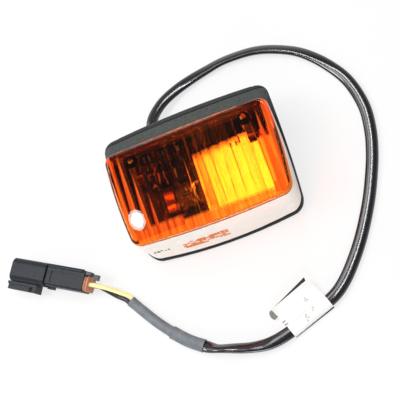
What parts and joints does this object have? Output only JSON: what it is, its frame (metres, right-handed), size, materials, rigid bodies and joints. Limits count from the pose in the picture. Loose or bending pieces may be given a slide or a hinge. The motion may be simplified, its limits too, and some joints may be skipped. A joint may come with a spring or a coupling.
{
  "type": "side marker lamp",
  "caption": "Amber wedge-lensed side marker lamp on a black two-tier housing, with a flat twin lead, wrap-round tag, shrink sleeves and a sealed connector.",
  "frame": {"origin": "centre of the lamp's flat back, on the mounting surface", "axes": "+Z out of the lens, +X along the lens, +Y to the housing's deep upper side"},
  "size_m": [0.2215, 0.1669, 0.0416],
  "materials": {
    "housing_black": "moulded, fine satin grain",
    "lens_amber": "polished, transparent amber",
    "rubber_black": "satin",
    "mirror_metal": "vacuum metallised",
    "zinc_steel": "zinc plated",
    "brass": "turned",
    "bulb_glass": "clear",
    "filament_metal": "drawn wire",
    "holder_black": "moulded",
    "pvc_black": "glossy extruded jacket",
    "sleeve_grey": "shrunk tube",
    "wire_yellow": "extruded insulation",
    "wire_black": "extruded insulation",
    "connector_black": "moulded nylon",
    "lock_grey": "moulded nylon",
    "seal_orange": "silicone, satin",
    "terminal_tin": "tin plated",
    "tag_white": "matt film"
  },
  "bodies": {
    "root": {"housing": "housing_black", "lens": "lens_amber", "lens_gasket": "rubber_black", "reflector": "mirror_metal", "reflector_screws": "zinc_steel", "bulb_holder": "holder_black", "bulb_glass": "bulb_glass", "bulb_cap": "brass", "bulb_filament": "filament_metal", "live_contact": "brass", "earth_contact": "brass", "lens_screws": "zinc_steel", "mount_inserts": "brass", "cable_clamp": "holder_black", "clamp_screws": "zinc_steel", "flex_tail": "pvc_black", "live_lead": "wire_yellow", "earth_lead": "wire_black", "cable_grommet": "rubber_black", "flex": "pvc_black", "wide_sleeve": "sleeve_grey", "narrow_sleeve": "sleeve_grey", "yellow_wire": "wire_yellow", "black_wire": "wire_black", "connector_housing": "connector_black", "connector_latch": "connector_black", "secondary_lock": "lock_grey", "wire_seal": "seal_orange", "face_seal": "seal_orange", "terminal_pins": "terminal_tin", "cable_tag": "tag_white"}
  },
  "joints": []
}
